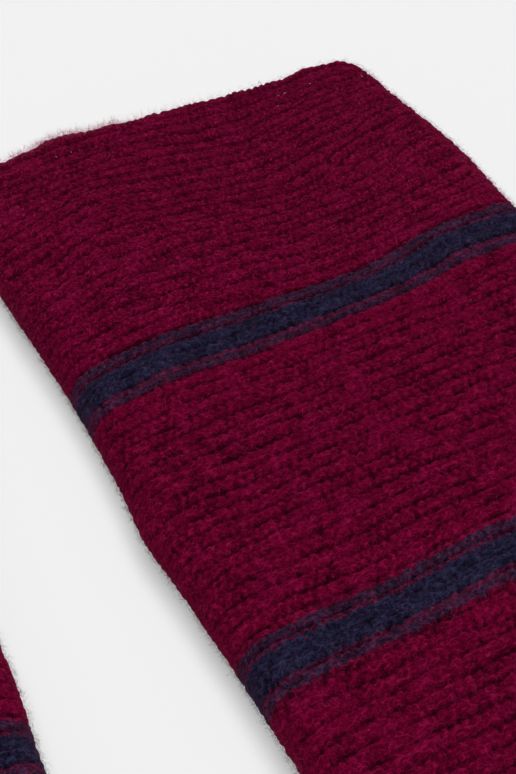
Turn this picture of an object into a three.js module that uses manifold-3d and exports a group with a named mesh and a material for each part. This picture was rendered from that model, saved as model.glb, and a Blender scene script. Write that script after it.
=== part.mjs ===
// A pair of knitted mittens lying flat, side by side, with the open cuffs towards +Y and the tips
// towards -Y. Millimetres, +Z up, the origin on the surface under the middle of the pair.
// Each mitten is a flattened knitted tube, built in its own frame: x runs across it from the inner
// fold to the thumb side, and y runs from 0 at the cuff's edge down to -HAND_LENGTH at the tip.
import * as THREE from 'three';
import { mergeVertices } from 'three/addons/utils/BufferGeometryUtils.js';
import Module from 'manifold-3d';

const wasm = await Module();
wasm.setup();

// The knitted tube
const HAND_WIDTH = 100;
const HAND_LENGTH = 260;
const TIP_CURVE = 55; // how far before the tip the sides begin to curve in
const FABRIC = 3; // thickness of one layer
const EDGE_ROUND = 5; // radius of the folds along the sides
const LAYER_FLAT = 1; // straight height between the rounded folds
const THICKNESS = 2 * EDGE_ROUND + LAYER_FLAT;
const GAP = 0.3; // between neighbouring bands

// Places along the tube, measured from the cuff's edge
const STRIPE_WIDTH = 12;
const STRIPE_SPACING = 62.5;
const CUFF_STRIPE = 64;
const HAND_STRIPE = CUFF_STRIPE + STRIPE_SPACING;
const FINGER_STRIPE = HAND_STRIPE + STRIPE_SPACING;
const WRIST_BEND = 93;
const TIP_GATHER = 6;

// Clear elastic threads knitted in under the cuff's edge
const ELASTIC_PLACES = [6, 9];
const ELASTIC_WIDTH = 0.8;
const ELASTIC_DEPTH = 1.1; // below the fabric's outer face

// The thumb, a smaller tube that leaves the hand's outer side
const THUMB_WIDTH = 34;
const THUMB_ANGLE = THREE.MathUtils.degToRad(28);
const THUMB_CROTCH = 152; // where its upper side meets the hand
const THUMB_HEEL = 102; // where its lower side leaves the hand
const THUMB_STRAIGHT = 42; // from the crotch to where its round end begins
const THUMB_HEEL_CURVE = 30; // how far the curve at the heel reaches along the thumb's side
const THUMB_ROOT = 25; // how far its outline runs on inside the hand
const THUMB_BASE_ROUND = 4; // width of the round of stitches picked up for it
const THUMB_KNUCKLE = 6; // from the crotch to where its lower half meets its upper half
const THUMB_GATHER = 5;

// How the pair lies: each mitten turned about its inner cuff corner, the tips apart
const TURN = THREE.MathUtils.degToRad(2.3);
const CUFF_SPACING = 19.2; // between the two inner cuff corners
const CUFF_STAGGER = 5.2; // how much nearer to +Y the left cuff lies

// Facets
const CURVE_SEGMENTS = 14;
const BEVEL_SEGMENTS = 3;
const MARGIN = 20; // how far a cutting block reaches past what it cuts
const WELD = 1e-3;

const BURGUNDY = new THREE.Color('#540521');
const NAVY = new THREE.Color('#1a1a2d');
const CLEAR = new THREE.Color('#d6d8dc');

// ---------------------------------------------------------------- solids

function toSolid(geometry) {
  geometry.deleteAttribute('normal');
  geometry.deleteAttribute('uv');
  const merged = mergeVertices(geometry, WELD);
  return new wasm.Manifold(new wasm.Mesh({
    numProp: 3,
    vertProperties: merged.attributes.position.array,
    triVerts: Uint32Array.from(merged.index.array),
  }));
}

function toGeometry(solid) {
  const mesh = solid.getMesh();
  const geometry = new THREE.BufferGeometry();
  geometry.setAttribute('position', new THREE.BufferAttribute(mesh.vertProperties, 3));
  geometry.setIndex(new THREE.BufferAttribute(mesh.triVerts, 1));
  geometry.computeVertexNormals();
  return geometry;
}

// The same geometry seen in a mirror across x = 0, with its faces still pointing out
function mirrored(geometry) {
  const copy = geometry.clone();
  const position = copy.attributes.position;
  for (let i = 0; i < position.count; i += 1) {
    position.setX(i, -position.getX(i));
  }
  const index = copy.index;
  for (let i = 0; i < index.count; i += 3) {
    const second = index.getX(i + 1);
    index.setX(i + 1, index.getX(i + 2));
    index.setX(i + 2, second);
  }
  copy.computeVertexNormals();
  return copy;
}

// A flat padded body with rounded sides: the outline and the thickness both drawn in by inset
function layer(outline, inset) {
  const round = EDGE_ROUND - inset;
  const geometry = new THREE.ExtrudeGeometry(outline, {
    depth: LAYER_FLAT,
    bevelThickness: round,
    bevelSize: round,
    bevelOffset: -(inset + round),
    bevelSegments: BEVEL_SEGMENTS,
    curveSegments: CURVE_SEGMENTS,
  });
  geometry.translate(0, 0, inset + round);
  return toSolid(geometry);
}

// A cutting block that covers the whole thickness, given by two opposite corners of its plan
function block(xLow, xHigh, yLow, yHigh) {
  const height = THICKNESS + 2 * MARGIN;
  const geometry = new THREE.BoxGeometry(xHigh - xLow, yHigh - yLow, height);
  geometry.translate((xLow + xHigh) / 2, (yLow + yHigh) / 2, THICKNESS / 2);
  return toSolid(geometry);
}

// ---------------------------------------------------------------- outlines

function handOutline() {
  const shape = new THREE.Shape();
  const sidesEnd = -(HAND_LENGTH - TIP_CURVE);
  shape.moveTo(0, MARGIN);
  shape.lineTo(0, sidesEnd);
  shape.absellipse(HAND_WIDTH / 2, sidesEnd, HAND_WIDTH / 2, TIP_CURVE, Math.PI, 2 * Math.PI);
  shape.lineTo(HAND_WIDTH, MARGIN);
  shape.closePath();
  return shape;
}

const thumbAlong = new THREE.Vector2(Math.sin(THUMB_ANGLE), -Math.cos(THUMB_ANGLE));
const thumbAcross = new THREE.Vector2(Math.cos(THUMB_ANGLE), Math.sin(THUMB_ANGLE));
const thumbCrotch = new THREE.Vector2(HAND_WIDTH, -THUMB_CROTCH);

// A point of the thumb: along it from the crotch, and across it from its upper side
function thumbPoint(along, across) {
  return thumbCrotch.clone().addScaledVector(thumbAlong, along).addScaledVector(thumbAcross, across);
}

function thumbOutline() {
  const shape = new THREE.Shape();
  const root = thumbPoint(-THUMB_ROOT, 0);
  const heelControl = thumbPoint(-THUMB_HEEL_CURVE, THUMB_WIDTH);
  const heelEnd = thumbPoint(0, THUMB_WIDTH);
  const tipStart = thumbPoint(THUMB_STRAIGHT, THUMB_WIDTH);
  const tipCentre = thumbPoint(THUMB_STRAIGHT, THUMB_WIDTH / 2);
  shape.moveTo(root.x, root.y);
  shape.lineTo(root.x, -THUMB_HEEL);
  shape.lineTo(HAND_WIDTH, -THUMB_HEEL);
  shape.quadraticCurveTo(heelControl.x, heelControl.y, heelEnd.x, heelEnd.y);
  shape.lineTo(tipStart.x, tipStart.y);
  shape.absarc(tipCentre.x, tipCentre.y, THUMB_WIDTH / 2, THUMB_ANGLE, THUMB_ANGLE - Math.PI, true);
  shape.closePath();
  return shape;
}

// ---------------------------------------------------------------- one mitten

const hand = handOutline();
const thumb = thumbOutline();
const pocket = layer(hand, FABRIC).add(layer(thumb, FABRIC));
const tube = layer(hand, 0).add(layer(thumb, 0)).subtract(pocket);
const thumbSide = layer(thumb, 0).subtract(pocket);

// The stretch of the tube between two distances from the cuff's edge
function stretch(from, to) {
  return tube.intersect(block(-MARGIN, HAND_WIDTH - GAP / 2, -to, -from));
}

// A stretch drawn in by half a gap at both ends
function band(from, to) {
  return stretch(from + GAP / 2, to - GAP / 2);
}

function elastic(place) {
  const loop = layer(hand, ELASTIC_DEPTH).subtract(layer(hand, ELASTIC_DEPTH + ELASTIC_WIDTH));
  const half = ELASTIC_WIDTH / 2;
  return loop.intersect(block(-MARGIN, HAND_WIDTH + MARGIN, -place - half, -place + half));
}

// The thumb between two distances out from the hand's side
function thumbSlice(from, to) {
  const far = -HAND_LENGTH;
  return thumbSide.intersect(block(HAND_WIDTH + from + GAP / 2, HAND_WIDTH + to, far, 0));
}

// A block over the last stretch of the thumb, square to its length
function thumbEnd(from) {
  const reach = THUMB_STRAIGHT + THUMB_WIDTH / 2 + MARGIN - from;
  const side = THUMB_WIDTH + 2 * MARGIN;
  const centre = thumbPoint(from + reach / 2, THUMB_WIDTH / 2);
  const geometry = new THREE.BoxGeometry(side, reach, THICKNESS + 2 * MARGIN);
  geometry.rotateZ(THUMB_ANGLE);
  geometry.translate(centre.x, centre.y, THICKNESS / 2);
  return toSolid(geometry);
}

function cuffPieces() {
  const clear = ELASTIC_WIDTH / 2 + GAP; // from the middle of an elastic thread to the knitting
  const [first, second] = ELASTIC_PLACES;
  return {
    cuff_edge: [stretch(0, first - clear), BURGUNDY],
    cuff_elastic_1: [elastic(first), CLEAR],
    cuff_elastic_round: [stretch(first + clear, second - clear), BURGUNDY],
    cuff_elastic_2: [elastic(second), CLEAR],
    cuff_band: [stretch(second + clear, CUFF_STRIPE - GAP / 2), BURGUNDY],
    cuff_stripe: [band(CUFF_STRIPE, CUFF_STRIPE + STRIPE_WIDTH), NAVY],
    wrist_band: [band(CUFF_STRIPE + STRIPE_WIDTH, WRIST_BEND), BURGUNDY],
  };
}

function handPieces() {
  const gatherStart = HAND_LENGTH - TIP_GATHER;
  return {
    hand_heel_band: [band(WRIST_BEND, HAND_STRIPE), BURGUNDY],
    hand_stripe: [band(HAND_STRIPE, HAND_STRIPE + STRIPE_WIDTH), NAVY],
    hand_band: [band(HAND_STRIPE + STRIPE_WIDTH, FINGER_STRIPE), BURGUNDY],
    finger_stripe: [band(FINGER_STRIPE, FINGER_STRIPE + STRIPE_WIDTH), NAVY],
    finger_band: [band(FINGER_STRIPE + STRIPE_WIDTH, gatherStart), BURGUNDY],
    tip_gather: [stretch(gatherStart + GAP / 2, HAND_LENGTH + MARGIN), BURGUNDY],
  };
}

function thumbPieces() {
  const gatherStart = THUMB_STRAIGHT + THUMB_WIDTH / 2 - THUMB_GATHER;
  const outside = thumbSlice(THUMB_BASE_ROUND, 2 * THUMB_WIDTH + MARGIN);
  const upper = outside.intersect(thumbEnd(THUMB_KNUCKLE + GAP));
  return {
    thumb_base_round: [thumbSlice(0, THUMB_BASE_ROUND - GAP / 2), BURGUNDY],
    thumb_lower_band: [outside.subtract(thumbEnd(THUMB_KNUCKLE)), BURGUNDY],
    thumb_upper_band: [upper.subtract(thumbEnd(gatherStart)), BURGUNDY],
    thumb_gather: [outside.intersect(thumbEnd(gatherStart + GAP)), BURGUNDY],
  };
}

function mittenPieces() {
  return { ...cuffPieces(), ...handPieces(), ...thumbPieces() };
}

// ---------------------------------------------------------------- the pair

function yarn(colour) {
  const isClear = colour === CLEAR;
  return new THREE.MeshStandardMaterial({ color: colour, roughness: isClear ? 0.3 : 0.95, metalness: 0 });
}

function mitten(pieces, side, isLeft) {
  const group = new THREE.Group();
  for (const [name, [solid, colour]] of Object.entries(pieces)) {
    const geometry = toGeometry(solid);
    const mesh = new THREE.Mesh(isLeft ? mirrored(geometry) : geometry, yarn(colour));
    mesh.name = `${side}_${name}`;
    group.add(mesh);
  }
  group.rotation.z = isLeft ? -TURN : TURN;
  return group;
}

const pieces = mittenPieces();
const right = mitten(pieces, 'right', false);
const left = mitten(pieces, 'left', true);
left.position.set(-CUFF_SPACING, CUFF_STAGGER, 0);

const pair = new THREE.Group();
pair.add(right, left);
pair.updateMatrixWorld(true);
const box = new THREE.Box3().setFromObject(pair, true);
const middle = box.getCenter(new THREE.Vector3());
pair.position.set(-middle.x, -middle.y, -box.min.z);

export default pair;
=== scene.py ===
"""The looks of a pair of knitted mittens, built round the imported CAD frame.

Each mitten is knitted in the round. Its surface is worked out in the mitten's own frame, in millimetres:
across from the inner fold (0) to the thumb side, along from the cuff's edge (0) to the tip, and up.
Every band of yarn is a closed piece with an outer face, an inner face and an end wall at each end.
"""
import math

import bpy
import numpy as np
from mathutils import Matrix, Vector


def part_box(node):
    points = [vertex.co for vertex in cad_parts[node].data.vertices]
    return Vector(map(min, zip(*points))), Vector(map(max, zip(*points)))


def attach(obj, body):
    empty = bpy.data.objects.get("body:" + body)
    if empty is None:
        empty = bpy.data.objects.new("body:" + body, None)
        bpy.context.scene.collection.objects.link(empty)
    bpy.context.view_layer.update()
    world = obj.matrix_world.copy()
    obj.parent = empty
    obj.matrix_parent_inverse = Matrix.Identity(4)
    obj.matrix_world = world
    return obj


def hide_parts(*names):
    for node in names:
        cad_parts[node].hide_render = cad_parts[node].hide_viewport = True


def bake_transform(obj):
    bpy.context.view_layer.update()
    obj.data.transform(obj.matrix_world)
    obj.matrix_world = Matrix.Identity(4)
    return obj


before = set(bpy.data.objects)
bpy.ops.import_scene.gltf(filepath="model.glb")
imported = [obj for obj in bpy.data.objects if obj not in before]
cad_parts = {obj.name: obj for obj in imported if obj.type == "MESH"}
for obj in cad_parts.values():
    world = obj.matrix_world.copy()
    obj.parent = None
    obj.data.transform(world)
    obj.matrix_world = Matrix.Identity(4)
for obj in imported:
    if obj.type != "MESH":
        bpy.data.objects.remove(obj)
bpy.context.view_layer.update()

MM = 0.001
TURN = math.radians(2.3)  # each mitten is turned by this, the tips apart

# ---------------------------------------------------------------- the mitten's own dimensions
WIDTH = 100.0
LENGTH = 260.0
TIP_CURVE = 55.0  # length of the hand's round end
MIDDLE = 5.5  # height of the plane between the two layers
HALF_THICK = 5.25  # from that plane to the crests of the ridges
FABRIC = 2.7
STRIPE_WIDTH = 12.0
STRIPES = (64.0, 126.5, 189.0)
WRIST = 93.0
GATHER = 254.0  # where the gathered tip begins
EDGE_END = 5.0  # where the cuff's edge ends and the round with the elastic begins
ROUND_END = 9.5
ELASTIC_ROUNDS = (6.0, 9.0)
ELASTIC_RADIUS = 0.11

THUMB_WIDTH = 34.0
THUMB_ANGLE = math.radians(28)
THUMB_CROTCH = 152.0
THUMB_HEEL = 102.0
THUMB_HEEL_CURVE = 30.0
THUMB_STRAIGHT = 42.0
THUMB_KNUCKLE = 6.0
THUMB_ROOT = 4.0  # how far inside the hand's fold the thumb begins
THUMB_ROOT_BACK = 1.5  # and how far nearer the cuff than the crotch its crotch side begins
THUMB_ROOT_THINNER = 2.0  # how much less its half thickness is where it begins
THUMB_ROOT_END = 0.3  # where the thumb is no longer thinner, as a share of the way to its knuckle

# ---------------------------------------------------------------- the knitting
RIDGES_APART = 22  # ridges from one stripe to the next
RIDGE = (STRIPES[1] - STRIPES[0]) / RIDGES_APART
CUFF_RIDGE = 3.2  # the looser ridges of the cuff band
STITCHES = 126  # round the hand
LAYER = WIDTH / 2 - HALF_THICK + math.pi * HALF_THICK / 2  # from a layer's middle to its fold's middle
STITCH = 4 * LAYER / STITCHES
RIDGE_DEPTH = 0.78
GRAIN = 0.40  # how far the gaps between the stitches' loops sink
DROOP = 0.6  # how far the rows hang towards the tip where they go round the inner fold
GRID = 0.4  # spacing of the outer face's points
INNER_GRID = 3.0
INSIDE_OUT = -0.6  # share of the outer face's relief that the inner face shows, the other way about
RIM_STEP = 0.35  # in radians, between the rings round the cuff's rim
RIM_RELIEF = 0.8  # share of the relief that the rim shows
HAIR_BREADTH = 0.02  # the least half width or thickness of a ring, so that a closed end stays open
NEARLY = 0.9999  # just short of a round end's pole
LAST_RING = 0.99995  # where the hand's last ring lies, as a share of its round end

LOOSE_LENGTH = 12.0  # length over which the cuff band's looser knitting sets in
WAVER, CUFF_WAVER = 0.17, 0.2  # how far the ridges waver, and how much more in the cuff band, in ridges
JITTER = 0.11  # how far they jump from stitch to stitch
GROOVE = 0.60  # how deep the grooves are on the whole, as a share of RIDGE_DEPTH
BROKEN = 0.22  # and how unevenly
CUFF_DEEPER = 0.20
STRIPE_CLOSES = 0.55  # share by which the grooves close in the middle of a stripe
STRIPE_MIDDLE, STRIPE_REACH = 5.7, 1.6  # that middle, from the stripe's start, and how far it reaches
FOLD_CLOSES = 0.85  # share by which they close where the rows go round a fold
COARSE, FINE = 0.15, 0.13  # height of the fibres' lumps and strands

# ---------------------------------------------------------------- the yarns' colours
BURGUNDY = (0.089, 0.0003, 0.0134)
# darkest burgundy: the painted shade in the grooves and loop gaps and the darker spots of the random mottling
# mix towards it
BURGUNDY_DEEP = (0.0130, 0.0001, 0.0026)
# colour of the loose fibres, and of the light lines and flecks on the yarn, which are partly pale fibres and
# partly painted highlight
BURGUNDY_FIBRE_AND_HIGHLIGHT = (0.28, 0.007, 0.058)
BURGUNDY_WISP = (0.62, 0.13, 0.27)
BURGUNDY_TINT = (1.0, 0.08, 0.35)  # of its gloss
BURGUNDY_SHEEN = (0.9, 0.04, 0.25)
NAVY = (0.0086, 0.0074, 0.0215)
# darkest navy, for its painted groove shade and its random mottling
NAVY_DEEP = (0.0012, 0.0010, 0.0038)
# the same for the navy yarn: its fibres, and its light lines, partly painted highlight
NAVY_FIBRE_AND_HIGHLIGHT = (0.031, 0.032, 0.077)
NAVY_TINT = (0.6, 0.6, 1.0)
# pale pink: the yarn showing through the clear elastic, lightened as a painted glint
ELASTIC_COLOUR = (0.34, 0.20, 0.24)

# zones of a stripe: where each begins and ends, from the stripe's start, and how much of it is navy yarn
# (the more above 1, the less burgundy is left in the zone)
STRIPE_ZONES = (
    (0.5, 2.5, 0.80),
    (2.5, 3.4, 0.46),
    (3.4, 8.7, 1.25),
    (8.7, 9.7, 0.48),
    (9.7, 11.4, 0.78),
)
SOFT = 0.5  # how far one zone's yarn runs into the next's
NARROWER = 1.15  # the second stripe is knitted this much tighter than the others
SECOND_STRIPE = (100.0, 160.0)  # what counts as the second stripe's part of the hand
BEFORE_STRIPE = 20.0  # a stripe's repeat is counted from this far before it


# ---------------------------------------------------------------- curves and noise
def smooth(t):
    """An even step from 0 to 1."""
    t = np.clip(t, 0.0, 1.0)
    return t * t * (3 - 2 * t)


def hump(x, centre, reach):
    """1 at the centre, falling off to about a third at reach."""
    return np.exp(-(((x - centre) / reach) ** 2))


class Noise:
    """Smooth random values from -1 to 1 over a plane, the same in every run."""

    SIZE = 256

    def __init__(self, seed):
        self.grid = np.random.RandomState(seed).uniform(-1, 1, (self.SIZE, self.SIZE))

    def __call__(self, x, y):
        x0, y0 = np.floor(x).astype(int), np.floor(y).astype(int)
        fx, fy = smooth(x - x0), smooth(y - y0)
        a, b = x0 % self.SIZE, y0 % self.SIZE
        a1, b1 = (a + 1) % self.SIZE, (b + 1) % self.SIZE
        low = self.grid[a, b] * (1 - fx) + self.grid[a1, b] * fx
        high = self.grid[a, b1] * (1 - fx) + self.grid[a1, b1] * fx
        return low * (1 - fy) + high * fy


lumps, strands, breaks, leans, swell = (Noise(seed) for seed in (11, 23, 37, 41, 59))
PATTERN_SHIFT = {"right": 0.0, "left": 3.1}  # moves the noise, so that no two tubes are knitted alike
THUMB_SHIFT = {"right": 5.9, "left": 8.7}
SWELL_SHIFT = {"right": 0, "left": 4}


# ---------------------------------------------------------------- relief of the knitting
# A noise is read at places divided by the size, in millimetres, of the lumps it is to have there.
def ridge_number(along):
    """Which ridge a place lies on, counted from the first stripe; whole numbers are the grooves."""
    start = STRIPES[0]
    return np.where(along < start, (along - start) / CUFF_RIDGE, (along - start) / RIDGE)


def stripe_share(along):
    """1 in the middle of a stripe and 0 outside."""
    share = np.zeros_like(along)
    for start in STRIPES:
        share = np.maximum(share, hump(along, start + STRIPE_MIDDLE, STRIPE_REACH))
    return share


def wavering_ridges(round_place, across, along, facing, seed, loose):
    """ridge_number, made to waver, the more so in the loose cuff band."""
    waver = (WAVER + CUFF_WAVER * loose) * leans(across / 9 + seed, along / 7 + facing)
    return ridge_number(along) + waver + JITTER * lumps(round_place / 1.7 + 31 + seed, along / 2.0)


def groove_share(row, across, along, facing, seed, loose, edge_on):
    """How deep a ridge's groove is, uneven from place to place, as a share of RIDGE_DEPTH."""
    broken = BROKEN * breaks(across / 4.5 + 7.3 * row + seed, row * 1.7 + facing)
    broken = broken + BROKEN * strands(across / 1.7 + 3.1 * row + seed, row * 2.3 + facing)
    stripe = 1 - STRIPE_CLOSES * stripe_share(along)
    fold = 1 - FOLD_CLOSES * edge_on
    return (GROOVE + broken) * (1 + CUFF_DEEPER * loose) * stripe * fold


def loop_phase(row, inside, round_place, across, along, facing, seed):
    """Where a place lies in its stitch, in turns, and across its half of the ridge, from 0 to 1."""
    course = np.floor(2 * inside)  # a ridge is two courses of loops, staggered by half a stitch
    across_course = 2 * inside - course
    lean = 0.6 * leans(across / 6 + seed, along / 5 + 9 + facing)
    slant = 0.5 * (course - 0.5) * (across_course - 0.5)
    offset = 2.5 * lumps(3.7 * row + seed, 0.5 + 0 * row)
    return round_place / STITCH + 0.5 * course + offset + lean + slant, across_course


def relief(round_place, across, along, facing, seed):
    """Height of the knitting above or below its crests, and how much painted shade each place takes.
    facing is the surface's upward normal, which tells the two layers and the folds between them apart."""
    loose = smooth((STRIPES[0] - along) / LOOSE_LENGTH)
    edge_on = 1 - np.abs(facing)
    number = wavering_ridges(round_place, across, along, facing, seed, loose)
    row = np.floor(number)
    inside = number - row
    depth = groove_share(row, across, along, facing, seed, loose, edge_on)
    from_crest = np.abs(inside - 0.5) * 2
    groove = 1 - np.sqrt(1 - (0.97 * from_crest**1.35) ** 2)
    phase, across_course = loop_phase(row, inside, round_place, across, along, facing, seed)
    loop = (0.5 + 0.5 * np.cos(2 * np.pi * phase)) ** 0.6 * np.sin(np.pi * across_course) ** 0.5
    grain_depth = GRAIN * (1 + 0.7 * breaks(round_place / 2.1 + seed, along / 1.9)) * (1 - 0.6 * edge_on)
    gaps = grain_depth * (1 - loop)
    fine = COARSE * lumps(round_place / 0.9 + seed, along / 0.8)
    fine = fine + FINE * strands(round_place / 2.3, along / 1.6 + seed)
    fine = fine * (1 - 0.5 * edge_on)
    height = -RIDGE_DEPTH * depth * groove - gaps + fine
    # painted shade from 0 to 1: dark in the grooves and the gaps between the loops, where shade falls, less
    # on the fibres' lumps
    dotted = 0.85 + 0.2 * np.cos(2 * np.pi * phase + 2.0)
    groove_shade = np.clip(1.6 * depth * groove * dotted + gaps - 1.2 * fine - 0.14, 0, 1)
    return height, groove_shade


def pleats(place, round_place, start, length, depth, spacing):
    """How deep the small folds are that a gathered end draws the fabric into, from start on."""
    share = float(smooth((place - start) / length))
    return depth * share * (0.5 + 0.5 * np.cos(2 * np.pi * round_place / spacing))


# ---------------------------------------------------------------- how the rows and folds wander
PULLS = {
    # place across and along, reach across and along, and how far the rows are pulled towards the tip
    "right": (
        (0, 38, 13, 24, 3.6),
        (27, 30, 12, 22, -2.8),
        (59, 30, 14, 22, 3.0),
        (99, 36, 18, 22, -5.2),
        (58, 66, 12, 10, 1.0),
        (78, 68, 7, 12, -1.3),
        (90, 68, 14, 15, -1.7),
        (28, 0, 9, 7, -1.0),
        (12, 0, 8, 7, 1.3),
        (88, 0, 30, 14, 3.0),
        (50, 0, 70, 9, -1.2),
        (87, 0, 5, 7, -1.3),
        (17, 70, 9, 14, -1.0),
        (6, 130, 16, 14, -0.6),
        (24, 128, 10, 12, 0.3),
        (44, 128, 12, 14, -0.8),
        (70, 175, 20, 20, 1.4),
        (30, 200, 18, 20, -1.2),
    ),
    "left": (
        (36, 24, 15, 20, 1.8),
        (70, 34, 14, 22, -2.0),
        (12, 60, 14, 18, -0.8),
        (50, 70, 16, 12, 0.9),
        (84, 74, 15, 15, -1.4),
        (60, 0, 14, 7, -1.2),
        (20, 130, 12, 14, 0.5),
        (64, 126, 14, 14, -0.9),
        (40, 176, 20, 22, 1.2),
        (76, 205, 16, 20, -1.0),
    ),
}
SIDES = {
    # place along, reach along, and how far the fold along the inner or outer side bulges out there
    "right": {
        "inner": ((66, 22, -1.0), (100, 8, 0.9), (131, 12, -0.8), (146, 9, -0.9), (190, 20, 0.8)),
        "outer": ((40, 19, 2.7), (10, 30, 0.7), (84, 12, -0.6)),
    },
    "left": {
        "inner": ((20, 20, 0.8), (62, 22, -0.7), (121, 11, 0.8), (142, 9, 0.7), (185, 18, -0.8)),
        "outer": ((12, 20, 1.0), (46, 18, 1.8), (80, 14, -0.8)),
    },
}
LOWER_SHARE = 0.35  # how much of the pulls the lower layer shows
DROOP_REACH = 4.0  # how far across the mitten the droop reaches from the inner fold
DROOP_START = 35.0  # length over which it sets in from the cuff's edge
DROOP_END = 235.0
CORNER = 6.0  # how far from its corners the cuff's edge begins to turn
CORNER_DROP = 2.6  # how far it has turned at the corners themselves
CORNER_REACH = 7.0  # how far along the mitten this shows
UNEVEN_EDGE = 0.35  # how far the cuff's edge wavers
PULL_END = 40.0  # length over which the pulls and the droop die out


def drift(side, across, along, top):
    """How far along a row is moved at each place. top is 1 on the upper layer and 0 on the lower one."""
    moved = np.zeros_like(across)
    for place_across, place_along, reach_across, reach_along, pull in PULLS[side]:
        moved += pull * hump(across, place_across, reach_across) * hump(along, place_along, reach_along)
    level = moved * (LOWER_SHARE + (1 - LOWER_SHARE) * top) * smooth((GATHER - along) / PULL_END)
    droop = DROOP * np.exp(-np.maximum(across, 0) / DROOP_REACH) * smooth(along / DROOP_START)
    turned_in = np.maximum(np.abs(across - WIDTH / 2) - (WIDTH / 2 - CORNER), 0) / CORNER
    corner = CORNER_DROP * turned_in**2 * np.exp(-((along / CORNER_REACH) ** 2))
    uneven = UNEVEN_EDGE * swell(across / 3.6, 7.0 + top) * np.exp(-((along / 5) ** 2))
    return level + droop * smooth((DROOP_END - along) / PULL_END) + corner + uneven


def side_wander(side, along, outward):
    """How far the folds along the sides stray from a straight line. outward is the normal's share across."""
    inner, outer = (
        sum(bulge * hump(along, place, reach) for place, reach, bulge in SIDES[side][which])
        for which in ("inner", "outer")
    )
    return outward * np.where(outward < 0, inner, outer)


# ---------------------------------------------------------------- the hand's tube
def section(half_width, half_thick, count):
    """count points round a flattened tube from the middle of its top, clockwise seen from the cuff.
    Gives across and up from its centre, the outward normal, and the distance round from the middle of the
    nearer layer with the other layer's counted on."""
    fold = np.minimum(half_thick, half_width)
    flat = half_width - fold
    quarter = flat + math.pi * fold / 2
    around = np.linspace(0, 4, count, endpoint=False)
    quadrant = np.floor(around).astype(int)
    turn = around - quadrant
    back = quadrant % 2 == 1
    reach = np.where(back, 1 - turn, turn) * quarter  # distance from the middle of the nearer layer
    angle = np.maximum(reach - flat, 0) / np.maximum(fold, 1e-6)
    across = np.minimum(reach, flat) + fold * np.sin(angle)
    up = half_thick * np.cos(angle)
    sign_across = np.where(quadrant < 2, 1.0, -1.0)
    sign_up = np.where((quadrant == 0) | (quadrant == 3), 1.0, -1.0)
    normal_across, normal_up = sign_across * np.sin(angle), sign_up * np.cos(angle)
    round_place = np.where(sign_up > 0, reach, 2 * LAYER - reach) * sign_across
    return sign_across * across, sign_up * up, normal_across, normal_up, round_place


def columns(width):
    """How many points go round a tube of this width, a quarter of them to each quarter."""
    return int(round((4 * (width / 2 - HALF_THICK) + 2 * math.pi * HALF_THICK) / GRID / 4)) * 4


EDGE_NARROWER, EDGE_NARROWER_REACH = 0.5, 5  # how much narrower and thinner the cuff is at its very edge
EDGE_THINNER, EDGE_THINNER_REACH = 0.25, 6
HAND_PLEATS = (238, 20, 0.9, 4.2)  # where they begin, over what length they deepen, their depth and spacing
LIE, THUMB_LIE = 0.45, 0.3  # how far the upper layer rises and falls where it lies uneven


def hand_shape(along):
    """Half the width and half the thickness of the hand's tube at a distance from the cuff."""
    start = LENGTH - TIP_CURVE
    t = min(max((along - start) / TIP_CURVE, 0.0), NEARLY)
    half_width = WIDTH / 2 * math.sqrt(1 - t * t)
    half_width -= EDGE_NARROWER * math.exp(-((along / EDGE_NARROWER_REACH) ** 2))
    close = min(max((along - GATHER) / (LENGTH - GATHER), 0.0), NEARLY)
    half_thick = HALF_THICK * math.sqrt(1 - close * close)
    half_thick -= EDGE_THINNER * math.exp(-((along / EDGE_THINNER_REACH) ** 2))
    return half_width, half_thick


def hand_ring(side, count, along, depth, push_out, push_along, shown):
    """One ring of points of the hand's tube, depth below its crests, with its knitting coordinates and
    the painted shade of each point. shown is how much of the relief there is; the pushes say which way it
    goes."""
    half_width, half_thick = hand_shape(along)
    inner_width = max(half_width - depth, HAIR_BREADTH)
    inner_thick = max(half_thick - depth, HAIR_BREADTH)
    x, z, nx, nz, round_place = section(inner_width, inner_thick, count)
    across = WIDTH / 2 + x
    place = np.full(count, along)
    height, groove_shade = relief(round_place, across, place, nz, PATTERN_SHIFT[side])
    height = height - pleats(along, round_place, *HAND_PLEATS)
    height, groove_shade = height * shown, groove_shade * shown
    out = push_out * height
    top = smooth(0.5 + nz)
    moved = place + drift(side, across, place, top) + push_along * height
    wander = side_wander(side, moved, nx)
    rise = LIE * swell(across / 21, moved / 24 + SWELL_SHIFT[side]) * top
    points = np.stack([across + out * nx + wander, -moved, MIDDLE + z + out * nz + rise], 1)
    return points, np.stack([round_place, place], 1), groove_shade


# ---------------------------------------------------------------- the thumb's tube
ALONG = np.array([math.sin(THUMB_ANGLE), math.cos(THUMB_ANGLE)])  # across the hand and towards its tip
OVER = np.array([math.cos(THUMB_ANGLE), -math.sin(THUMB_ANGLE)])
CROTCH = np.array([WIDTH, THUMB_CROTCH])
HEEL_END = CROTCH + THUMB_WIDTH * OVER
HEEL_CONTROL = HEEL_END - THUMB_HEEL_CURVE * ALONG
HEEL_FROM, HEEL_TO = 0.08, 0.88  # the part of the way to the knuckle in which the heel's curve lies
THUMB_CLOSING = 2.4  # where the thumb's end begins to close
THUMB_PLEATS = (2.2, 0.6, 0.8, 3.6)  # as HAND_PLEATS, with places counted as in thumb_sides


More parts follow.
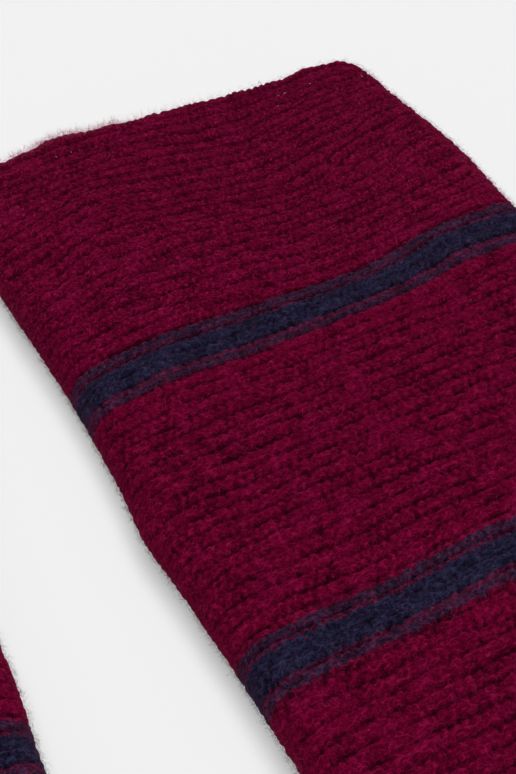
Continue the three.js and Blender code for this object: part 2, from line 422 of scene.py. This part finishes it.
def thumb_sides(t):
    """The thumb's two side lines, crotch and heel, in the hand's across and along. t runs 0 to 1 from the
    root to the knuckle, 1 to 2 to where the round end begins, and 2 to 3 over the round end."""
    if t < 1:
        heel = np.array([WIDTH, THUMB_HEEL])
        s = max((t - HEEL_FROM) / (HEEL_TO - HEEL_FROM), 0.0)
        root = np.array([-THUMB_ROOT * (1 - t), -THUMB_ROOT_BACK * (1 - t)])
        crotch = CROTCH + root + THUMB_KNUCKLE * t * ALONG
        if s < 1:
            curve = (1 - s) ** 2 * heel + 2 * s * (1 - s) * HEEL_CONTROL + s * s * HEEL_END
        else:
            curve = HEEL_END + (t - HEEL_TO) / (1 - HEEL_TO) * THUMB_KNUCKLE * ALONG
        return crotch, curve - np.array([THUMB_ROOT * max(HEEL_FROM - t, 0) / HEEL_FROM, 0.0])
    if t < 2:
        reach = THUMB_KNUCKLE + (t - 1) * (THUMB_STRAIGHT - THUMB_KNUCKLE)
        return CROTCH + reach * ALONG, HEEL_END + reach * ALONG
    angle = min(t - 2, NEARLY) * math.pi / 2
    reach = THUMB_STRAIGHT + THUMB_WIDTH / 2 * math.sin(angle)
    centre = CROTCH + THUMB_WIDTH / 2 * OVER + reach * ALONG
    half = THUMB_WIDTH / 2 * math.cos(angle) * OVER
    return centre - half, centre + half


def thumb_thick(t):
    """Half the thickness of the thumb's tube, thinner where it starts inside the hand's fold."""
    if t < 1:
        return HALF_THICK - THUMB_ROOT_THINNER * (1 - smooth(t / THUMB_ROOT_END))
    close = min(max(t - THUMB_CLOSING, 0) / (3 - THUMB_CLOSING), NEARLY)
    return HALF_THICK * math.sqrt(1 - close * close)


def thumb_ring(side, count, t, depth, push_out, push_along, shown):
    """One ring of points of the thumb's tube, as hand_ring gives for the hand's."""
    crotch, heel = thumb_sides(t)
    centre, half = (crotch + heel) / 2, (heel - crotch) / 2
    half_width = max(float(np.linalg.norm(half)), HAIR_BREADTH)
    direction = half / half_width if half_width > HAIR_BREADTH else OVER
    inner_width = max(half_width - depth, HAIR_BREADTH)
    inner_thick = max(float(thumb_thick(t)) - depth, HAIR_BREADTH)
    x, z, nx, nz, round_place = section(inner_width, inner_thick, count)
    flat = centre[None, :] + x[:, None] * direction[None, :]
    place = (flat - CROTCH[None, :]) @ ALONG + STRIPES[1] + RIDGES_APART * RIDGE
    height, groove_shade = relief(round_place, round_place, place, nz, THUMB_SHIFT[side])
    height = height - pleats(t, round_place, *THUMB_PLEATS)
    height, groove_shade = height * shown, groove_shade * shown
    out = push_out * height
    flat = flat + out[:, None] * nx[:, None] * direction[None, :]
    rise = THUMB_LIE * swell(flat[:, 0] / 17, flat[:, 1] / 19) * smooth(0.5 + nz)
    points = np.stack([flat[:, 0], -flat[:, 1], MIDDLE + z + out * nz + rise], 1)
    return points, np.stack([round_place, place], 1), groove_shade


# ---------------------------------------------------------------- from a mitten's own frame to the row frame
corners = {}  # where each mitten's own frame begins: its inner fold at the cuff's edge
for side, low_x in (("right", True), ("left", False)):
    low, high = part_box(f"{side}_cuff_edge")
    corners[side] = ((low.x if low_x else high.x) / MM, high.y / MM - WIDTH * math.sin(TURN))


def placed(points, side):
    """Points of a mitten's own frame, in millimetres, as points of the row frame, in metres."""
    sign = 1 if side == "right" else -1
    x, y = points[:, 0] * sign, points[:, 1]
    c, s = math.cos(TURN), math.sin(TURN) * sign
    corner_x, corner_y = corners[side]
    return np.stack([corner_x + x * c - y * s, corner_y + x * s + y * c, points[:, 2]], 1) * MM


# ---------------------------------------------------------------- from rings to pieces
def spread(start, end, step):
    """Places from start to end, evenly and about step apart."""
    count = max(int(round(abs(end - start) / step)), 1)
    return np.linspace(start, end, count + 1)


# A band's lengthwise section is a list of rings, out along its outer face, down its end, back along its
# inner face. Each is (along, depth, push out, push along, how much of the knitting's relief shows).
def outer_face(places):
    return [(place, 0.0, 1.0, 0.0, 1.0) for place in places]


def inner_face(places):
    return [(place, FABRIC, INSIDE_OUT, 0.0, 1.0) for place in places]


def closed_profile(start, end, rim):
    """A straight band's lengthwise section. With rim, its first end is rounded over."""
    rim_radius = FABRIC / 2
    first = start + rim_radius if rim else start
    loop = outer_face(spread(first, end, GRID)) + inner_face(spread(end, first, INNER_GRID))
    if rim:
        for angle in spread(math.pi / 2, -math.pi / 2, RIM_STEP)[1:-1]:
            place = first - rim_radius * math.cos(angle)
            depth = rim_radius + rim_radius * math.sin(angle)
            loop.append((place, depth, -math.sin(angle), -math.cos(angle), RIM_RELIEF))
    return loop


def wrapped_quads(rows, count):
    """Faces between rings of count points, the last ring joined to the first."""
    i, j = np.meshgrid(np.arange(rows), np.arange(count), indexing="ij")
    i2, j2 = (i + 1) % rows, (j + 1) % count
    return np.stack([i * count + j, i * count + j2, i2 * count + j2, i2 * count + j], -1).reshape(-1, 4)


def band_piece(name, side, ring, count, profile, material):
    """A closed piece from a lengthwise section carried round the tube."""
    rings = [ring(side, count, *entry) for entry in profile]
    points = placed(np.concatenate([r[0] for r in rings]), side)
    pattern = np.concatenate([r[1] for r in rings])
    groove_shade = np.concatenate([r[2] for r in rings])
    quads = wrapped_quads(len(profile), count)
    if side == "right":
        quads = quads[:, ::-1]
    piece = knit_mesh(name, points, quads, pattern, groove_shade, material)
    outer_rows = sum(1 for entry in profile if entry[1] == 0.0)
    crease_ends(piece.data, count, outer_rows)
    outer = piece.vertex_groups.new(name="outer face")
    outer.add(list(range(outer_rows * count)), 1.0, "REPLACE")
    return piece


def crease_ends(mesh, count, outer_rows):
    """Mark the rings where the outer face meets the end walls as sharp."""
    ends = np.empty(len(mesh.edges) * 2, dtype=np.int32)
    mesh.edges.foreach_get("vertices", ends)
    ring = ends.reshape(-1, 2) // count
    same = ring[:, 0] == ring[:, 1]
    sharp = same & ((ring[:, 0] == 0) | (ring[:, 0] == outer_rows - 1))
    mesh.attributes.new("sharp_edge", "BOOLEAN", "EDGE").data.foreach_set("value", sharp)


def knit_mesh(name, points, quads, pattern, groove_shade, material):
    """A piece of quads that carries its knitting coordinates and its painted groove shade for the shader."""
    mesh = bpy.data.meshes.new(name)
    mesh.vertices.add(len(points))
    mesh.vertices.foreach_set("co", points.astype(np.float32).ravel())
    mesh.loops.add(quads.size)
    mesh.loops.foreach_set("vertex_index", quads.astype(np.int32).ravel())
    mesh.polygons.add(len(quads))
    mesh.polygons.foreach_set("loop_start", np.arange(0, quads.size, 4, dtype=np.int32))
    mesh.update(calc_edges=True)
    mesh.validate()
    mesh.shade_smooth()
    places = pattern[quads]
    seam = np.ptp(places[:, :, 0], axis=1) > LAYER
    places[:, :, 0] += 4 * LAYER * (seam[:, None] & (places[:, :, 0] < 0))
    mesh.uv_layers.new(name="knit").data.foreach_set("uv", places.astype(np.float32).ravel())
    layer = mesh.attributes.new("groove_shade", "FLOAT", "POINT")
    layer.data.foreach_set("value", groove_shade.astype(np.float32))
    mesh.materials.append(material)
    for fibre in FIBRES.get(material.name, ()):
        mesh.materials.append(fibre)
    piece = bpy.data.objects.new(name, mesh)
    bpy.context.scene.collection.objects.link(piece)
    return piece


# ---------------------------------------------------------------- materials
def fill(made, **values):
    """Set a node's sockets. An underscore in a name stands for a space."""
    for key, value in values.items():
        made.inputs[key.replace("_", " ")].default_value = value


def node(tree, kind, settings=(), **values):
    """A new node with its settings and its sockets' values."""
    made = tree.nodes.new(kind)
    for key, value in dict(settings).items():
        setattr(made, key, value)
    fill(made, **values)
    return made


class Shading:
    """Short ways to build a yarn's shader out of noise and the piece's own knitting coordinates."""

    def __init__(self, name):
        self.material = bpy.data.materials.new(name)
        self.material.use_nodes = True
        self.tree = self.material.node_tree
        self.shader = self.tree.nodes["Principled BSDF"]
        self.knit = node(self.tree, "ShaderNodeUVMap", {"uv_map": "knit"}).outputs[0]
        parts = node(self.tree, "ShaderNodeSeparateXYZ")
        self.link(self.knit, parts.inputs[0])
        self.across, self.along = parts.outputs[0], parts.outputs[1]
        self.groove_shade = node(self.tree, "ShaderNodeAttribute", {"attribute_name": "groove_shade"}).outputs["Fac"]

    def link(self, source, target):
        self.tree.links.new(source, target)

    def noise(self, size, detail=2.0, roughness=0.6, stretch=1.0):
        """Noise with lumps about size millimetres across, stretch times longer across the mitten."""
        place = node(self.tree, "ShaderNodeVectorMath", {"operation": "MULTIPLY"})
        self.link(self.knit, place.inputs[0])
        place.inputs[1].default_value = (1 / stretch, 1, 1)
        made = node(self.tree, "ShaderNodeTexNoise", Scale=1 / size, Detail=detail, Roughness=roughness)
        self.link(place.outputs[0], made.inputs["Vector"])
        return made.outputs["Fac"]

    def maths(self, operation, a, b=0.0, clamp=False):
        made = node(self.tree, "ShaderNodeMath", {"operation": operation, "use_clamp": clamp})
        for socket, value in zip(made.inputs, (a, b)):
            if isinstance(value, (int, float)):
                socket.default_value = value
            else:
                self.link(value, socket)
        return made.outputs[0]

    def add(self, a, b, clamp=False):
        return self.maths("ADD", a, b, clamp)

    def less(self, a, b, clamp=False):
        return self.maths("SUBTRACT", a, b, clamp)

    def times(self, a, b, clamp=False):
        return self.maths("MULTIPLY", a, b, clamp)

    def total(self, *terms):
        """The sum of (factor, value) terms, kept between 0 and 1."""
        result = 0.0
        for factor, value in terms:
            part = factor if value is None else self.times(value, factor)
            result = self.add(part, result)
        return self.add(result, 0.0, clamp=True)

    def hairlines(self, size, width):
        """Thin curling lines about width millimetres thick, for pale fibres lying on the yarn with a painted
        highlight.
        """
        away = self.maths("ABSOLUTE", self.less(self.noise(size, 1.0, stretch=1.5), 0.5))
        return self.less(1.0, self.times(away, 2 * size / width), clamp=True)

    def mix(self, factor, a, b):
        made = node(self.tree, "ShaderNodeMix", {"data_type": "RGBA"})
        for socket, value in ((made.inputs[0], factor), (made.inputs[6], a), (made.inputs[7], b)):
            if isinstance(value, tuple):
                socket.default_value = (*value, 1.0)
            else:
                self.link(value, socket)
        return made.outputs[2]


def stripe_mask(look):
    """How much navy yarn shows: a thin line, dashes, a broad line, dashes and a thin line."""
    ragged = look.less(look.noise(1.3, 2.0, 0.6), 0.5)
    stitch = look.maths("SINE", look.times(look.across, 2 * math.pi / STITCH))
    along = look.add(look.along, look.add(look.times(ragged, 1.7), look.times(stitch, 0.10)))
    start = look.maths("MODULO", look.less(along, STRIPES[0] - BEFORE_STRIPE), STRIPES[1] - STRIPES[0])
    past_first = look.maths("GREATER_THAN", along, SECOND_STRIPE[0])
    second = look.times(past_first, look.maths("LESS_THAN", along, SECOND_STRIPE[1]))
    tighter = look.add(look.times(second, NARROWER - 1), 1.0)
    middle = BEFORE_STRIPE + STRIPE_WIDTH / 2
    inside = look.add(look.times(look.less(start, middle), tighter), STRIPE_WIDTH / 2)
    share = 0.0
    for low, high, navy in STRIPE_ZONES:
        begun = look.add(look.times(look.less(inside, low), 1 / SOFT), 0.5, clamp=True)
        ended = look.add(look.times(look.less(inside, high), 1 / SOFT), 0.5, clamp=True)
        share = look.add(look.times(look.less(begun, ended), navy), share)
    speckle = look.times(look.less(0.5, look.noise(0.6, 3.0, 0.75, stretch=2.2)), 2.6)
    return look.times(share, look.add(speckle, 1.0), clamp=True)


def fibre_material(name, striped, pale):
    """Thin fibres that let light through. The pale ones are the loose wisps."""
    look = Shading(name)
    light, dark = (BURGUNDY_WISP, BURGUNDY_FIBRE_AND_HIGHLIGHT) if pale else (BURGUNDY_FIBRE_AND_HIGHLIGHT, BURGUNDY)
    colour = look.mix(look.noise(3.0), light, dark)
    if striped:
        colour = look.mix(stripe_mask(look), colour, look.mix(look.noise(3.0), NAVY_FIBRE_AND_HIGHLIGHT, NAVY))
    surface = node(look.tree, "ShaderNodeBsdfDiffuse")
    through = node(look.tree, "ShaderNodeBsdfTranslucent")
    both = node(look.tree, "ShaderNodeMixShader", Fac=0.5)
    look.link(colour, surface.inputs["Color"])
    look.link(colour, through.inputs["Color"])
    look.link(surface.outputs[0], both.inputs[1])
    look.link(through.outputs[0], both.inputs[2])
    look.link(both.outputs[0], look.tree.nodes["Material Output"].inputs["Surface"])
    look.tree.nodes.remove(look.shader)
    return look.material


def yarn_material(name, striped, tint):
    """Matt woolly yarn, with painted shade in its grooves and pale fibres lying on it that carry a painted
    highlight. The cuff shows the yarn's plies.
    """
    look = Shading(name)
    fill(look.shader, Roughness=0.9, Specular_IOR_Level=0.03, Specular_Tint=(*tint, 1))
    fill(look.shader, Sheen_Weight=0.07, Sheen_Roughness=0.35, Sheen_Tint=(*BURGUNDY_SHEEN, 1))
    mottle = look.noise(0.72, 3.0, 0.75, stretch=1.8)
    patches = look.noise(24.0)
    plies = look.noise(0.26, 1.0, stretch=0.6)
    cuff = look.times(look.less(STRIPES[0] + LOOSE_LENGTH / 2, look.along), 1 / LOOSE_LENGTH, clamp=True)
    cuff_plies = look.times(look.less(plies, 0.5), cuff)
    # painted shade in the grooves and loop gaps, with the yarn's random mottling, patches and plies: the
    # share of the darkest colour
    painted_shade_and_mottle = look.total(
        (1.25, look.groove_shade),
        (1.5, mottle),
        (0.35, patches),
        (0.8, plies),
        (4.2, cuff_plies),
        (0.10, cuff),
        (-1.15, None),
    )
    # light flecks and curling lines: pale fibres on the yarn, partly painted highlight, with more flecks on
    # the cuff
    flecks = look.times(look.less(look.noise(0.36, 1.0, stretch=1.6), 0.58), 6.0, clamp=True)
    lines = look.total(
        (0.34, look.hairlines(1.5, 0.12)),
        (0.30, look.hairlines(0.8, 0.10)),
        (0.30, flecks),
        (0.60, look.times(flecks, cuff)),
    )
    # the painted highlight is left out where the painted groove shade lies
    lines = look.times(lines, look.less(1.0, look.groove_shade, clamp=True))
    colour = look.mix(lines, look.mix(painted_shade_and_mottle, BURGUNDY, BURGUNDY_DEEP), BURGUNDY_FIBRE_AND_HIGHLIGHT)
    if striped:
        # the navy yarn takes the same painted shade and painted highlight lines
        navy = look.mix(look.total((1.3, lines)), look.mix(painted_shade_and_mottle, NAVY, NAVY_DEEP), NAVY_FIBRE_AND_HIGHLIGHT)
        colour = look.mix(stripe_mask(look), colour, navy)
    look.link(colour, look.shader.inputs["Base Color"])
    bump = node(look.tree, "ShaderNodeBump", Strength=0.8, Distance=0.0005)
    look.link(look.total((0.6, mottle), (0.4, plies)), bump.inputs["Height"])
    look.link(bump.outputs[0], look.shader.inputs["Normal"])
    return look.material


def elastic_material():
    """Thin clear elastic, coloured as the yarn showing through it, lightened to a pale pink as a painted
    glint.
    """
    look = bpy.data.materials.new("clear_elastic")
    look.use_nodes = True
    shader = look.node_tree.nodes["Principled BSDF"]
    fill(shader, Base_Color=(*ELASTIC_COLOUR, 1), Roughness=0.2, Specular_IOR_Level=0.8)
    return look


FIBRES = {  # the materials of each yarn's short fibres and of its pale wisps
    name: (fibre_material(f"{name}_fibres", striped, False), fibre_material(f"{name}_wisps", striped, True))
    for name, striped in (("burgundy_knit", False), ("striped_knit", True))
}
burgundy_yarn = yarn_material("burgundy_knit", False, BURGUNDY_TINT)
striped_yarn = yarn_material("striped_knit", True, NAVY_TINT)
elastic = elastic_material()

# ---------------------------------------------------------------- loose fibres
FIBRE_SLOT, WISP_SLOT = 2, 3  # places of a piece's fibre materials, counted from 1
CHILDREN = 3
FUZZ = {
    # strands on a square millimetre, their reach up and sideways and their thickness in millimetres,
    # the place of their material, the points they grow on, and what the seed adds to the count so far
    "short fibres": (4.6, 0.16, 0.6, 0.018, FIBRE_SLOT, "outer face", 1),
    "wisps": (0.06, 0.4, 0.9, 0.020, WISP_SLOT, "outer face", 300),
    "brushed wisps": (1.5, 0.8, 0.8, 0.022, WISP_SLOT, "brushed rim", 901),
}


def fuzz(piece, name):
    """Fibres of one kind over a piece's outer face."""
    strands_per_mm2, stand, lie, thick, look, group, seed = FUZZ[name]
    seed += len(bpy.data.particles)
    area = sum(polygon.area for polygon in piece.data.polygons) / MM**2
    piece.modifiers.new(name, "PARTICLE_SYSTEM")
    system = piece.particle_systems[-1]
    system.seed = seed
    system.vertex_group_density = group
    fibres = system.settings
    fibres.type = "HAIR"
    fibres.use_advanced_hair = True
    fibres.distribution = "RAND"
    fibres.count = int(area * strands_per_mm2 / CHILDREN)
    fibres.hair_step = 2
    fibres.render_step = 3
    fibres.normal_factor = stand * MM / 4
    fibres.factor_random = lie * MM / 4
    fibres.child_type = "SIMPLE"
    fibres.rendered_child_count = CHILDREN
    fibres.child_percent = 0
    fibres.child_radius = 1.6 * MM
    fibres.child_roundness = 0.3
    fibres.roughness_1 = 0.2 * MM
    fibres.roughness_1_size = 0.6 * MM
    fibres.roughness_2 = 0.2 * MM
    fibres.roughness_2_size = 0.6 * MM
    fibres.roughness_endpoint = 0.25 * MM
    fibres.root_radius = 1.0
    fibres.tip_radius = 0.5
    fibres.radius_scale = thick * MM
    fibres.material = look


def soft_fibres(piece):
    """The short fibres that every band carries, and a few longer loose ones."""
    fuzz(piece, "short fibres")
    fuzz(piece, "wisps")


BRUSHED_ROWS = 1.8  # how far from the cuff's edge it has been brushed
BRUSHED_ACROSS = (28, 15)  # the middle and the reach of the place that was brushed most
BRUSHED_LEAST = 0.06


def brush_rim(piece, profile):
    """Longer, paler wisps standing up where the cuff's edge has been brushed."""
    across = WIDTH / 2 + section(WIDTH / 2, HALF_THICK, HAND_COLUMNS)[0]
    shares = BRUSHED_LEAST + (1 - BRUSHED_LEAST) * hump(across, *BRUSHED_ACROSS)
    rim = piece.vertex_groups.new(name="brushed rim")
    for row, (along, depth, *_) in enumerate(profile):
        if along < BRUSHED_ROWS and depth < 0.75 * FABRIC:
            for column, share in enumerate(shares):
                rim.add([row * HAND_COLUMNS + column], share, "REPLACE")
    fuzz(piece, "brushed wisps")


# ---------------------------------------------------------------- the bands of both mittens
HAND_COLUMNS = columns(WIDTH)
THUMB_COLUMNS = columns(THUMB_WIDTH)

CUFF_BANDS = (
    ("cuff_edge", 0.0, EDGE_END, False),
    ("cuff_elastic_round", EDGE_END, ROUND_END, False),
    ("cuff_band", ROUND_END, STRIPES[0], False),
    ("cuff_stripe", STRIPES[0], STRIPES[0] + STRIPE_WIDTH, True),
    ("wrist_band", STRIPES[0] + STRIPE_WIDTH, WRIST, False),
)
HAND_BANDS = (
    ("hand_heel_band", WRIST, STRIPES[1], False),
    ("hand_stripe", STRIPES[1], STRIPES[1] + STRIPE_WIDTH, True),
    ("hand_band", STRIPES[1] + STRIPE_WIDTH, STRIPES[2], False),
    ("finger_stripe", STRIPES[2], STRIPES[2] + STRIPE_WIDTH, True),
)
TIP_BANDS = (
    ("finger_band", STRIPES[2] + STRIPE_WIDTH, GATHER),
    ("tip_gather", GATHER, LENGTH),
)
THUMB_BASE, THUMB_GATHER = 0.16, 2.6  # where the thumb's first band ends and its gathered end begins
THUMB_HEEL_RUN = 62.0  # length of the heel's curve
THUMB_INNER_END = 2.82  # where the inner face closes, short of the outer face's end


def bend_wrist(piece):
    """Bake the placement of a piece between the cuff and the hand into its points."""
    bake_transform(piece)


def bend_thumb(piece):
    """Bake the placement of a piece between the hand and the thumb into its points."""
    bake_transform(piece)


def hand_bands(side):
    """The bands from the cuff's edge to the last stripe."""
    for body, bands in (("cuff", CUFF_BANDS), ("hand", HAND_BANDS)):
        for name, start, end, is_striped in bands:
            profile = closed_profile(start, end, rim=name == "cuff_edge")
            material, slot = (striped_yarn, "navy_yarn") if is_striped else (burgundy_yarn, "burgundy_yarn")
            piece = band_piece(f"{side}_{name}_knit", side, hand_ring, HAND_COLUMNS, profile, material)
            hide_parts(f"{side}_{name}")
            soft_fibres(piece)
            if name == "cuff_edge":
                brush_rim(piece, profile)
            if name in ("wrist_band", "hand_heel_band"):
                bend_wrist(piece)
            else:
                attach(piece, f"{side}_{body}")


def tip_rows(start, end):
    """Places along the hand's round end, closer together where its outline turns in."""
    base = LENGTH - TIP_CURVE
    first, last = (math.asin(min((v - base) / TIP_CURVE, LAST_RING)) for v in (start, end))
    return base + TIP_CURVE * np.sin(spread(first, last, GRID / TIP_CURVE))


def burgundy_piece(name, side, ring, count, profile):
    """A plain burgundy band with its fibres, standing in for the CAD solid of the same name."""
    piece = band_piece(f"{side}_{name}_knit", side, ring, count, profile, burgundy_yarn)
    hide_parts(f"{side}_{name}")
    soft_fibres(piece)
    return piece


def tip_bands(side):
    """The bands from the last stripe over the hand's round end."""
    for name, start, end in TIP_BANDS:
        curve_start = max(start, LENGTH - TIP_CURVE)
        rows = np.concatenate([spread(start, curve_start, GRID)[:-1], tip_rows(curve_start, end)])
        inner_rows = list(rows[::-3])
        if rows[0] not in inner_rows:
            inner_rows.append(rows[0])
        if name == "tip_gather":
            inner_rows = [min(v, LENGTH - FABRIC) for v in inner_rows]
        profile = outer_face(rows) + inner_face(inner_rows)
        piece = burgundy_piece(name, side, hand_ring, HAND_COLUMNS, profile)
        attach(piece, f"{side}_hand")


def thumb_bands(side):
    """The thumb's bands, from its root in the hand's fold to its gathered end."""
    heel_step = 1 / (THUMB_HEEL_RUN / GRID)
    straight_step = GRID / (THUMB_STRAIGHT - THUMB_KNUCKLE)
    end_step = GRID / (THUMB_WIDTH / 2 * math.pi / 2)
    straight, round_end = spread(1.0, 2.0, straight_step), spread(2.0, THUMB_GATHER, end_step)
    parts = (
        ("thumb_base_round", spread(0.0, THUMB_BASE, heel_step)),
        ("thumb_lower_band", spread(THUMB_BASE, 1.0, heel_step)),
        ("thumb_upper_band", np.concatenate([straight, round_end[1:]])),
        ("thumb_gather", spread(THUMB_GATHER, 3.0, end_step)),
    )
    for name, rows in parts:
        last = THUMB_INNER_END if name == "thumb_gather" else 3.0
        profile = outer_face(rows) + inner_face([min(t, last) for t in rows[::-1]])
        piece = burgundy_piece(name, side, thumb_ring, THUMB_COLUMNS, profile)
        bend_thumb(piece)


# ---------------------------------------------------------------- clear elastic threads under the cuff's edge
ELASTIC_STITCHES = 124
ELASTIC_STEPS = 8  # points of the thread in each stitch
ELASTIC_SIDES = 6
ELASTIC_DEPTH = 0.72  # how far under the crests it lies
BOB, UNEVEN_BOB, SWAY = 0.25, 0.4, 0.45  # how far it bobs evenly and unevenly, and how far it sways


def elastic_line(side, number, along):
    """The middle line of a thread that bobs in and out of the stitches, and the fabric's normal along it."""
    count = ELASTIC_STITCHES * ELASTIC_STEPS
    base = hand_ring(side, count, along, 0.0, 1.0, 0.0, 1.0)[0]
    stitch = np.arange(count) / ELASTIC_STEPS
    uneven = UNEVEN_BOB * breaks(stitch / 2.0, np.full(count, number * 3.0))
    bob = BOB * np.cos(2 * np.pi * stitch) + uneven - ELASTIC_DEPTH
    sway = SWAY * np.sin(2 * np.pi * stitch + 0.7)
    nx, nz = section(WIDTH / 2, HALF_THICK, count)[2:4]
    return base + np.stack([bob * nx, -sway, bob * nz], 1), np.stack([nx, np.zeros(count), nz], 1)


def elastic_thread(side, number, along):
    """One closed elastic thread, knitted in with a round of the cuff."""
    line, outward = elastic_line(side, number, along)
    ahead = np.roll(line, -1, 0) - np.roll(line, 1, 0)
    ahead /= np.linalg.norm(ahead, axis=1)[:, None]
    side_way = np.cross(ahead, outward)
    side_way /= np.linalg.norm(side_way, axis=1)[:, None]
    out_way = np.cross(side_way, ahead)
    turn = np.linspace(0, 2 * np.pi, ELASTIC_SIDES, endpoint=False)
    spokes = np.cos(turn)[:, None, None] * out_way + np.sin(turn)[:, None, None] * side_way
    points = placed((line[None] + ELASTIC_RADIUS * spokes).reshape(-1, 3), side)
    quads = wrapped_quads(ELASTIC_SIDES, len(line))
    if side == "left":
        quads = quads[:, ::-1]
    plain = np.zeros((len(points), 2))
    piece = knit_mesh(
        f"{side}_cuff_elastic_{number}_thread", points, quads, plain, plain[:, 0], elastic
    )
    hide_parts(f"{side}_cuff_elastic_{number}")
    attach(piece, f"{side}_cuff")


for side in ("right", "left"):
    hand_bands(side)
    tip_bands(side)
    thumb_bands(side)
    for number, along in enumerate(ELASTIC_ROUNDS, 1):
        elastic_thread(side, number, along)


# ---------------------------------------------------------------- floor, light and camera
FLOOR_REACH = 60.0
FLOOR_GREY = 0.10  # what it gives back of the light that falls on it
FLOOR_GLOW = 0.37  # and the light it gives by itself, so that shadows on it stay pale
WORLD_LIGHT = 0.88
# each lamp's strength, its width in degrees and the way it shines
KEY_LIGHT, KEY_ANGLE, KEY_WAY = 1.43, 16, (-0.80, -0.66, -3.0)
FLOOR_LIGHT, FLOOR_ANGLE, FLOOR_WAY = 12.2, 46, (-0.26, -0.40, -3.0)
CAMERA_PLACE = Vector((-25.2, -92.0, 167.5)) * MM
CAMERA_TARGET = Vector((45.6, 49.4, 2.0)) * MM
CAMERA_LENS = 58.9

scene = bpy.context.scene


def pale_floor():
    """A plain floor under the part."""
    mesh = bpy.data.meshes.new("floor")
    signs = ((-1, -1), (1, -1), (1, 1), (-1, 1))
    mesh.from_pydata([(x * FLOOR_REACH, y * FLOOR_REACH, 0) for x, y in signs], [], [(0, 1, 2, 3)])
    made = bpy.data.objects.new("floor", mesh)
    scene.collection.objects.link(made)
    look = bpy.data.materials.new("pale_floor")
    look.use_nodes = True
    shader = look.node_tree.nodes["Principled BSDF"]
    grey = (FLOOR_GREY, FLOOR_GREY, FLOOR_GREY, 1)
    fill(shader, Base_Color=grey, Specular_IOR_Level=0.0, Roughness=0.9)
    fill(shader, Emission_Color=(1, 1, 1, 1), Emission_Strength=FLOOR_GLOW)
    mesh.materials.append(look)
    return made


def white_world():
    """Even white light from all round."""
    world = bpy.data.worlds.new("studio")
    scene.world = world
    world.use_nodes = True
    fill(world.node_tree.nodes["Background"], Color=(1, 1, 1, 1), Strength=WORLD_LIGHT)


def aim(thing, way):
    """Turn a lamp or a camera to look along a direction."""
    thing.rotation_mode = "QUATERNION"
    thing.rotation_quaternion = Vector(way).to_track_quat("-Z", "Y")


def sun(name, strength, angle, way):
    """A broad lamp far away, angle degrees wide, that shines along way."""
    light = bpy.data.lights.new(name, "SUN")
    light.energy = strength
    light.angle = math.radians(angle)
    made = bpy.data.objects.new(name, light)
    aim(made, way)
    scene.collection.objects.link(made)
    return made


def photo_camera():
    """The camera, above the tip half of the mittens and looking down towards the right one's cuff."""
    data = bpy.data.cameras.new("camera")
    data.lens = CAMERA_LENS
    data.sensor_width = 36
    data.clip_start = 0.01
    made = bpy.data.objects.new("camera", data)
    made.location = CAMERA_PLACE
    aim(made, CAMERA_TARGET - CAMERA_PLACE)
    scene.collection.objects.link(made)
    return made


floor = pale_floor()
scene.view_settings.view_transform = "Standard"
white_world()
sun("key", KEY_LIGHT, KEY_ANGLE, KEY_WAY)
# a broad lamp that only the floor takes, so that the mittens' shadow is soft, short and deep beside them
floor_lamp = sun("floor_lamp", FLOOR_LIGHT, FLOOR_ANGLE, FLOOR_WAY)
floor_only = bpy.data.collections.new("floor_only")
floor_only.objects.link(floor)
floor_lamp.light_linking.receiver_collection = floor_only
scene.camera = photo_camera()
